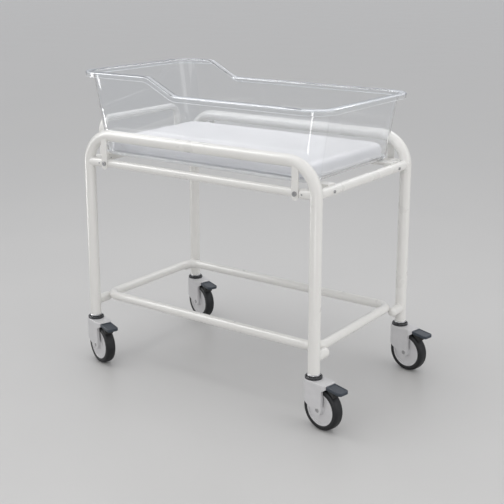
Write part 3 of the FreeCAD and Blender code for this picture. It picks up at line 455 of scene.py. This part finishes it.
@dataclass(frozen=True)
class BrightSteel(Finish):
    """Zinc-plated steel with turning marks."""

    tones: Span = (0.85, 1.1)
    roughness: float = 0.3
    spread: Span = (0.7, 1.3)
    turning: float = 220.0
    turning_pace: Place = (1.0, 1.0, 12.0)

    def dress(self, board: NodeBoard, where: bpy.types.NodeSocket, shader: bpy.types.Node) -> None:
        """Metal with fine marks in its roughness and relief.

        Args:
            board: the material's board.
            where: the object coordinates.
            shader: the shader to feed.
        """
        marks = board.noise(board.stretch(where, self.turning_pace), self.turning, detail=4.0)
        rough = board.span(marks, *(self.roughness * share for share in self.spread))
        board.feed(shader, {"Metallic": 1.0, "Base Color": self.tinted(board, marks), "Roughness": rough,
                            "Normal": board.relief(marks, self.relief)})


@dataclass(frozen=True)
class Moulding(Finish):
    """Opaque moulded plastic or rubber with a spark-eroded grain."""

    tones: Span = (0.96, 1.03)
    roughness: float = 0.4
    spread: Span = (0.88, 1.12)
    grain: float = 900.0
    patches: float = 35.0
    grain_share: float = 0.85
    specular: float = 0.5

    def dress(self, board: NodeBoard, where: bpy.types.NodeSocket, shader: bpy.types.Node) -> None:
        """Grain and a patchy tone.

        Args:
            board: the material's board.
            where: the object coordinates.
            shader: the shader to feed.
        """
        grain = SkinGrain.place(board, where, Fine=self.grain, Slow=self.patches, Share=self.grain_share)
        patch = grain.outputs["Patch"]
        rough = board.span(patch, *(self.roughness * share for share in self.spread))
        board.feed(shader, {"Specular IOR Level": self.specular, "Base Color": self.tinted(board, patch),
                            "Roughness": rough, "Normal": board.relief(grain.outputs["Height"], self.relief)})


class Finishes:
    """All finishes by the record's material slots, and the pale opaque one that paints the highlight line
    along the tub's lip.
    """

    def __init__(self) -> None:
        """List the finishes and build their materials."""
        finishes = (
            PowderCoat("coated_tube", (0.81, 0.80, 0.775)),
            PowderCoat("rest_plate", (0.80, 0.79, 0.765)),
            BrightSteel("bright_steel", (0.44, 0.44, 0.445)),
            Moulding("caster_plastic", (0.64, 0.635, 0.645), relief=0.000006, roughness=0.34),
            Moulding("tyre_rubber", (0.012, 0.0125, 0.014), roughness=0.5, grain=700.0, specular=0.35),
            Moulding("seal_rubber", (0.022, 0.023, 0.026), relief=0.000006, roughness=0.3),
            Moulding("pedal_plastic", (0.030, 0.040, 0.055), roughness=0.38),
            Moulding("brake_lining", (0.02, 0.02, 0.02), relief=0.0001, roughness=0.8),
            ClearMoulding("clear_tub", (0.985, 0.992, 1.0)),
            CoverCloth("mattress_cover", (0.80, 0.80, 0.82)),
        )
        self.materials = {finish.slot: finish.material() for finish in finishes}
        # A pale opaque finish for the strip under the tub's lip: painted highlight standing in for the clear
        # rim's bright reflection line.
        self.edge = Moulding("clear_tub_painted_highlight", (0.86, 0.88, 0.90), relief=0.000004, roughness=0.25,
                             grain=700.0).material()

    def put_on(self, piece: bpy.types.Object, slot: str) -> None:
        """Dress a piece.

        Args:
            piece: the piece.
            slot: the record's material slot.
        """
        piece.data.materials.clear()
        piece.data.materials.append(self.materials[slot])

    def put_on_frame(self) -> None:
        """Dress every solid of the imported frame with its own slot's finish."""
        for entry in frame["record"]["subparts"]:
            node = frame["nodes"][entry["node"]]
            for index in range(len(node.material_slots)):
                node.material_slots[index].link = "DATA"
                node.material_slots[index].material = self.materials[entry["material_slot"]]
            if not node.material_slots:
                self.put_on(node, entry["material_slot"])
            log.info("dressed %s with %s", entry["node"], entry["material_slot"])


# --------------------------------------------------------------------------- modelling

class Bench:
    """Mesh work by operators, on one active piece at a time."""

    @staticmethod
    def clear() -> None:
        """Leave edit mode and select nothing."""
        if bpy.context.object and bpy.context.object.mode != "OBJECT":
            bpy.ops.object.mode_set(mode="OBJECT")
        bpy.ops.object.select_all(action="DESELECT")

    @staticmethod
    def named(name: str) -> bpy.types.Object:
        """Name the piece that an operator just added or changed.

        Args:
            name: the piece's name.

        Returns:
            The piece.
        """
        piece = bpy.context.object
        piece.name = piece.data.name = name
        return piece

    @staticmethod
    def copied(piece: bpy.types.Object, name: str) -> bpy.types.Object:
        """Copy a piece with its mesh.

        Args:
            piece: the piece to copy.
            name: the copy's name.

        Returns:
            The copy, selected and active.
        """
        Bench.pick(piece)
        bpy.ops.object.duplicate()
        return Bench.named(name)

    @staticmethod
    def ring(name: str, place: Place, radius: float, wall: float, steps: tuple[int, int],
             turn: Place = (0.0, 0.0, 0.0)) -> bpy.types.Object:
        """Start a ring-shaped piece.

        Args:
            name: the piece's name.
            place: its middle.
            radius: the radius of the ring.
            wall: the radius of its section.
            steps: the faces round the ring and round the section.
            turn: how it is turned, in radians.

        Returns:
            The piece.
        """
        Bench.clear()
        bpy.ops.mesh.primitive_torus_add(major_radius=radius, minor_radius=wall, major_segments=steps[0],
                                         minor_segments=steps[1], location=place, rotation=turn)
        return Bench.named(name)

    @staticmethod
    def pick(piece: bpy.types.Object) -> None:
        """Make a piece the only selected and active one."""
        Bench.clear()
        piece.select_set(True)
        bpy.context.view_layer.objects.active = piece

    @staticmethod
    def settle(piece: bpy.types.Object) -> None:
        """Put the piece's place, turn and scale into its mesh."""
        Bench.pick(piece)
        bpy.ops.object.transform_apply(location=True, rotation=True, scale=True)

    @staticmethod
    @contextmanager
    def editing(piece: bpy.types.Object, kind: str, wanted: Iterable[int]) -> Iterator[None]:
        """Hold a piece in edit mode, with some of its edges or faces selected.

        Args:
            piece: the piece.
            kind: EDGE or FACE.
            wanted: their numbers.
        """
        Bench.pick(piece)
        bpy.ops.object.mode_set(mode="EDIT")
        bpy.ops.mesh.select_mode(type=kind)
        bpy.ops.mesh.select_all(action="DESELECT")
        bpy.ops.object.mode_set(mode="OBJECT")
        parts = piece.data.edges if kind == "EDGE" else piece.data.polygons
        for index in wanted:
            parts[index].select = True
        bpy.ops.object.mode_set(mode="EDIT")
        yield
        bpy.ops.object.mode_set(mode="OBJECT")

    @staticmethod
    def modify(piece: bpy.types.Object, kind: str, **settings: Any) -> None:
        """Put a modifier on a piece and apply it.

        Args:
            piece: the piece.
            kind: the modifier's type.
            settings: its own options.
        """
        Bench.pick(piece)
        modifier = piece.modifiers.new(kind.lower(), kind)
        for name, value in settings.items():
            setattr(modifier, name, value)
        bpy.ops.object.modifier_apply(modifier=modifier.name)

    @staticmethod
    def smooth(piece: bpy.types.Object, angle: float = 60.0) -> None:
        """Shade smooth up to an angle in degrees."""
        Bench.pick(piece)
        bpy.ops.object.shade_smooth_by_angle(angle=math.radians(angle))

    @staticmethod
    def finish(piece: bpy.types.Object, body: str, slot: str, finishes: Finishes) -> None:
        """Dress a piece, name its slot and let it ride.

        Args:
            piece: the piece, in place.
            body: the body that it moves with.
            slot: the record's material slot.
            finishes: the finishes.
        """
        finishes.put_on(piece, slot)
        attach(piece, body)
        log.info("%s: %d faces on %s", piece.name, len(piece.data.polygons), body)


@dataclass
class MattressPad:
    """The mattress: a foam slab in a coated cover that swells a little between its edges."""

    finishes: Finishes
    inset: float = 0.004
    corner: float = 0.044
    corner_steps: int = 8
    edge: float = 0.013
    edge_steps: int = 4
    steep: float = 0.9
    level: float = 0.1
    voxel: float = 0.007
    pressure: float = 2.5
    cap: float = 0.0045
    frames: int = 16
    seam_height: float = 0.012
    seam_radius: float = 0.0012

    def build(self) -> None:
        """Model the pad and its welded seam, and let them stand for the solid mattress."""
        low, high = (Vector(corner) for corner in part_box("mattress"))
        pad = self.slab(low, high)
        self.swell(pad, low.z)
        Bench.finish(pad, "mattress", "mattress_cover", self.finishes)
        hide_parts("mattress")
        seam = self.seam(pad, low.z + self.seam_height)
        Bench.finish(seam, "mattress", "mattress_cover", self.finishes)

    def slab(self, low: Vector, high: Vector) -> bpy.types.Object:
        """The rounded slab before it swells.

        Args:
            low: the mattress's lowest corner.
            high: its highest corner.

        Returns:
            The slab, evenly meshed.
        """
        Bench.clear()
        bpy.ops.mesh.primitive_cube_add(size=1.0, location=(low + high) / 2)
        pad = Bench.named("mattress_pad")
        room = high - low
        pad.scale = (room.x - 2 * self.inset, room.y - 2 * self.inset, room.z - self.inset)
        pad.location.z -= self.inset / 2
        Bench.settle(pad)
        upright = [edge.index for edge in pad.data.edges if self.is_upright(pad, edge)]
        with Bench.editing(pad, "EDGE", upright):
            bpy.ops.mesh.bevel(offset=self.corner, segments=self.corner_steps, profile=0.5)
        rim = [edge.index for edge in pad.data.edges if self.is_rim(pad, edge)]
        with Bench.editing(pad, "EDGE", rim):
            bpy.ops.mesh.bevel(offset=self.edge, segments=self.edge_steps, profile=0.5)
        pad.data.remesh_voxel_size = self.voxel
        Bench.pick(pad)
        bpy.ops.object.voxel_remesh()
        return pad

    def is_upright(self, piece: bpy.types.Object, edge: bpy.types.MeshEdge) -> bool:
        """If an edge stands nearly upright."""
        first, last = (piece.data.vertices[index].co for index in edge.vertices)
        return abs((last - first).z) > self.steep * (last - first).length

    def is_rim(self, piece: bpy.types.Object, edge: bpy.types.MeshEdge) -> bool:
        """If an edge lies between a level face and an upright one."""
        tilts = [abs(face.normal.z) for face in piece.data.polygons if edge.key in face.edge_keys]
        return len(tilts) == 2 and max(tilts) > self.steep and min(tilts) < self.level

    def swell(self, pad: bpy.types.Object, floor: float) -> None:
        """Let the cover swell under a little pressure, with the bottom kept on the tub's floor.

        Args:
            pad: the slab.
            floor: the lowest height that it may reach.
        """
        start = [vertex.co.copy() for vertex in pad.data.vertices]
        Bench.pick(pad)
        cloth = pad.modifiers.new("swell", "CLOTH")
        cloth.settings.use_pressure = True
        cloth.settings.uniform_pressure_force = self.pressure
        cloth.settings.effector_weights.gravity = 0.0
        for number in range(1, self.frames + 1):
            bpy.context.scene.frame_set(number)
        bpy.ops.object.modifier_apply(modifier=cloth.name)
        bpy.context.scene.frame_set(1)
        for vertex, was in zip(pad.data.vertices, start):
            move = vertex.co - was
            if move.length > self.cap:
                vertex.co = was + move.normalized() * self.cap
            vertex.co.z = max(vertex.co.z, floor)
        Bench.modify(pad, "SUBSURF", levels=1, render_levels=1)
        Bench.smooth(pad)

    def seam(self, pad: bpy.types.Object, height: float) -> bpy.types.Object:
        """The thin welded seam that runs round the cover's side.

        Args:
            pad: the finished pad.
            height: the seam's height.

        Returns:
            The seam.
        """
        name = "mattress_seam"
        seam = Bench.copied(pad, name)
        with Bench.editing(seam, "EDGE", range(len(seam.data.edges))):
            bpy.ops.mesh.bisect(plane_co=(0, 0, height), plane_no=(0, 0, 1), clear_inner=True,
                                clear_outer=True)
        bpy.ops.object.convert(target="CURVE")
        seam = Bench.named(name)
        seam.data.bevel_depth = self.seam_radius
        seam.data.bevel_resolution = 1
        bpy.ops.object.convert(target="MESH")
        seam = Bench.named(name)
        Bench.smooth(seam)
        return seam


@dataclass
class TubPaintedHighlight:
    """A pale opaque strip along the bottom of the tub's turned-down lip: painted highlight that stands in for
    the clear rim's bright reflection line.
    """

    finishes: Finishes
    merge: float = 0.00001
    lip_thick: float = 0.005
    lean: float = 0.165
    corner: float = 0.09
    down: float = -0.3
    skin: float = 0.0012

    def build(self) -> None:
        """Lift the lip's lower faces off a copy of the tub and give them a thin skin."""
        edge = Bench.copied(frame["nodes"]["tub"], "tub_painted_highlight")
        with Bench.editing(edge, "FACE", range(len(edge.data.polygons))):
            bpy.ops.mesh.remove_doubles(threshold=self.merge)
        low, high = (Vector(corner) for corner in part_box("tub"))
        others = [face.index for face in edge.data.polygons
                  if not self.on_edge(face.center, face.normal, low, high)]
        with Bench.editing(edge, "FACE", others):
            bpy.ops.mesh.delete(type="FACE")
        Bench.modify(edge, "SOLIDIFY", thickness=self.skin, offset=0.0)
        Bench.smooth(edge)
        Bench.finish(edge, "tub", "clear_tub", self.finishes)
        # The strip takes the pale opaque finish: painted highlight in place of the clear rim's reflection
        # line.
        edge.data.materials[0] = self.finishes.edge

    def on_edge(self, place: Vector, normal: Vector, low: Vector, high: Vector) -> bool:
        """If a face belongs to the lip's lower edge.

        Args:
            place: the face's centre.
            normal: its normal.
            low: the tub's lowest corner.
            high: its highest corner.

        Returns:
            True for the lip's bottom and its outer round.
        """
        off = place - (low + high) / 2
        half = (high - low) / 2
        drop = (high.z - place.z) * self.lean
        inner = Vector((half.x, half.y)) - Vector((drop + self.corner, drop + self.corner))
        way = Vector((math.copysign(max(abs(off.x) - inner.x, 0.0), off.x),
                      math.copysign(max(abs(off.y) - inner.y, 0.0), off.y)))
        if way.length < self.corner - self.lip_thick:
            return False
        outward = normal.xy.dot(way.normalized())
        return normal.z < self.down and outward > self.down


@dataclass
class WeldBeads:
    """Fillet beads where round tubes meet the legs square on."""

    finishes: Finishes
    leg_radius: float = 0.0175
    stub_radius: float = 0.015
    stub_height: float = 0.199
    rail_radius: float = 0.014
    rail_height: float = 0.665
    bead: float = 0.0024
    bead_steps: tuple[int, int] = (40, 10)
    widest: float = 0.999

    def build(self) -> None:
        """Add a bead at each stub and at each end of the cross rails."""
        for end, side, place in corners():
            corner, inward = end.value
            frame_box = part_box("side_frame_" + side.name.lower())
            axis = (frame_box[corner][0] + inward * self.leg_radius, (frame_box[0][1] + frame_box[1][1]) / 2)
            self.bead_at("stub_weld_" + place, axis, side, self.stub_radius, self.stub_height)
            self.bead_at("rail_weld_" + place, axis, side, self.rail_radius, self.rail_height)

    def bead_at(self, name: str, axis: Span, side: Side, radius: float, height: float) -> None:
        """One bead, bent to the round of the leg.

        Args:
            name: the bead's name.
            axis: where the leg stands, in X and Y.
            side: the leg's side.
            radius: the radius of the tube that meets the leg.
            height: that tube's height.
        """
        weld = Bench.ring(name, (*axis, height), radius, self.bead, self.bead_steps, (math.pi / 2, 0.0, 0.0))
        Bench.settle(weld)
        for vertex in weld.data.vertices:
            across = min(abs(vertex.co.x - axis[0]), self.leg_radius * self.widest)
            vertex.co.y += side.value * math.sqrt(self.leg_radius ** 2 - across ** 2)
        Bench.smooth(weld, angle=80.0)
        Bench.finish(weld, "frame", "coated_tube", self.finishes)


@dataclass
class LegCollars:
    """Bright sleeves round the feet of the legs, where the caster stems go in."""

    finishes: Finishes
    radius: float = 0.0174
    wall: float = 0.0019
    steps: tuple[int, int] = (48, 12)
    stretch: float = 1.5
    rise: float = 0.0033

    def build(self) -> None:
        """Set one sleeve just above each caster's dark seal."""
        for _, _, place in corners():
            low, high = (Vector(corner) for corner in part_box("swivel_seal_" + place))
            middle = (low + high) / 2
            collar = Bench.ring("leg_collar_" + place, (middle.x, middle.y, high.z + self.rise),
                                self.radius, self.wall, self.steps)
            collar.scale.z = self.stretch
            Bench.settle(collar)
            Bench.smooth(collar, angle=80.0)
            Bench.finish(collar, "frame", "bright_steel", self.finishes)


# --------------------------------------------------------------------------- stage

@dataclass(frozen=True)
class Lamp:
    """A soft rectangular lamp: its place, what it points at, its size, its watts, and if it only glints."""

    name: str
    place: Place
    aim: Place
    size: Span
    power: float
    glints_only: bool = False

    def hang(self, unglinted: bpy.types.Collection) -> None:
        """Hang the lamp; it isn't seen itself.

        Args:
            unglinted: what a lamp that only glints leaves out.
        """
        Bench.clear()
        bpy.ops.object.light_add(type="AREA", location=self.place)
        lamp = bpy.context.object
        lamp.name = self.name
        lamp.data.shape = "RECTANGLE"
        lamp.data.size, lamp.data.size_y = self.size
        lamp.data.energy = self.power
        lamp.visible_camera = lamp.visible_transmission = False
        lamp.visible_diffuse = not self.glints_only
        if self.glints_only:
            lamp.light_linking.receiver_collection = unglinted
        lamp.rotation_euler = (Vector(self.aim) - Vector(self.place)).to_track_quat("-Z", "Y").to_euler()


@dataclass
class Studio:
    """The floor, the lights, the world and the camera."""

    floor_half: float = 30.0
    floor_colour: Colour = (0.61, 0.605, 0.60)
    floor_tones: Span = (0.94, 1.04)
    floor_roughness: Span = (0.36, 0.44)
    floor_specular: float = 0.3
    speckles: float = 420.0
    clouds: float = 2.0
    sky_low: Colour = (0.50, 0.51, 0.52)
    sky_high: Colour = (0.95, 0.96, 1.0)
    sky_mirrored: Colour = (0.36, 0.38, 0.41)
    sky_climb: Span = (0.05, 0.6)
    ambient: float = 0.72
    camera_place: Place = (1.75968, -2.46900, 1.28294)
    camera_pitch: float = 76.31
    camera_turn: float = 35.56
    lens: float = 71.4
    sensor: float = 36.0
    shift: float = -0.0992
    sight: float = 200.0
    lamps: tuple[Lamp, ...] = (
        Lamp("ceiling_panel", (-0.7, -0.2, 3.0), (0.0, 0.0, 0.6), (1.5, 1.5), 16.0),
        Lamp("window_right", (3.6, 0.2, 1.5), (0.0, 0.0, 0.7), (2.4, 2.8), 27.0),
        Lamp("front_fill", (0.3, -2.6, 1.3), (0.0, 0.0, 0.5), (1.8, 1.2), 7.5),
        Lamp("glint_head_end", (-2.2, -1.3, 3.0), (0.0, 0.0, 0.8), (1.5, 1.5), 40.0, glints_only=True),
        Lamp("glint_far_side", (0.4, 2.6, 3.0), (0.0, 0.0, 0.8), (2.0, 1.0), 20.0, glints_only=True),
        Lamp("glint_left", (-3.4, -2.2, 1.5), (0.0, 0.0, 0.6), (0.8, 2.8), 50.0, glints_only=True),
        Lamp("strip_left", (-1.35, -0.6, 0.35), (-0.4, -0.25, 0.8), (0.1, 0.5), 2.4, glints_only=True),
        Lamp("strip_front", (0.72, -1.1, 0.35), (0.39, -0.25, 0.8), (0.08, 0.5), 1.6, glints_only=True),
    )

    def build(self) -> None:
        """Set the whole stage."""
        bpy.context.scene.view_settings.view_transform = "Standard"
        unglinted = self.left_out(self.floor())
        self.world()
        for lamp in self.lamps:
            lamp.hang(unglinted)
        self.camera()

    def floor(self) -> bpy.types.Object:
        """A plain pale sheet floor with fine speckle and a soft gloss.

        Returns:
            The floor.
        """
        Bench.clear()
        bpy.ops.mesh.primitive_plane_add(size=2 * self.floor_half)
        floor = Bench.named("floor")
        made = bpy.data.materials.new("floor_sheet")
        board = NodeBoard.cleared(made)
        where = board.add("ShaderNodeTexCoord").outputs["Object"]
        speckle = board.noise(where, self.speckles, detail=3.0)
        cloud = board.noise(where, self.clouds, detail=4.0)
        low, high = (tuple(part * tone for part in self.floor_colour) for tone in self.floor_tones)
        base = board.blend(board.span(speckle, 0.0, 1.0, 0.35, 0.65), low, high)
        base = board.blend(board.span(cloud, 0.0, 0.5), base, high)
        shader = board.add("ShaderNodeBsdfPrincipled", {
            "Base Color": base, "Roughness": board.span(cloud, *self.floor_roughness),
            "Specular IOR Level": self.floor_specular})
        board.add("ShaderNodeOutputMaterial", {"Surface": shader.outputs[0]})
        floor.data.materials.append(made)
        return floor

    @staticmethod
    def left_out(piece: bpy.types.Object) -> bpy.types.Collection:
        """A collection for light linking that leaves one piece out.

        Args:
            piece: what the linked lamps don't light.

        Returns:
            The collection.
        """
        unglinted = bpy.data.collections.new("without_glints")
        unglinted.objects.link(piece)
        unglinted.collection_objects[0].light_linking.link_state = "EXCLUDE"
        return unglinted

    def world(self) -> None:
        """An even sky: pale at the horizon, lighter overhead, and dimmer in what mirrors the horizon."""
        world = bpy.data.worlds.new("studio_sky")
        bpy.context.scene.world = world
        board = NodeBoard.cleared(world)
        ray = board.add("ShaderNodeTexCoord").outputs["Generated"]
        up = board.add("ShaderNodeSeparateXYZ", {0: ray}).outputs["Z"]
        height = board.span(up, 0.0, 1.0, *self.sky_climb)
        seen = board.blend(height, self.sky_low, self.sky_high)
        mirrored = board.blend(height, self.sky_mirrored, self.sky_high)
        light = board.add("ShaderNodeBackground", {"Color": (1.0, 1.0, 1.0, 1.0), "Strength": self.ambient})
        path = board.add("ShaderNodeLightPath")
        straight = board.add("ShaderNodeMath", {
            0: path.outputs["Is Camera Ray"], 1: path.outputs["Is Transmission Ray"]}, operation="MAXIMUM")
        for chosen, colour in ((straight.outputs[0], seen), (path.outputs["Is Glossy Ray"], mirrored)):
            shown = board.add("ShaderNodeBackground", {"Color": colour, "Strength": 1.0})
            light = board.add("ShaderNodeMixShader", {0: chosen, 1: light.outputs[0], 2: shown.outputs[0]})
        board.add("ShaderNodeOutputWorld", {"Surface": light.outputs[0]})

    def camera(self) -> None:
        """The camera at its viewing angle."""
        Bench.clear()
        turn = (math.radians(self.camera_pitch), 0, math.radians(self.camera_turn))
        bpy.ops.object.camera_add(location=self.camera_place, rotation=turn)
        camera = bpy.context.object
        camera.data.lens = self.lens
        camera.data.sensor_width = self.sensor
        camera.data.shift_y = self.shift
        camera.data.clip_end = self.sight
        bpy.context.scene.camera = camera


def main() -> None:
    """Build the stage, dress the frame and add the modelled pieces."""
    logging.basicConfig(level=logging.INFO, format="%(name)s: %(message)s")
    Studio().build()
    finishes = Finishes()
    finishes.put_on_frame()
    WeldBeads(finishes).build()
    LegCollars(finishes).build()
    # Painted highlight: a pale opaque strip under the clear tub's lip.
    TubPaintedHighlight(finishes).build()
    MattressPad(finishes).build()


if __name__ == "__main__":
    main()
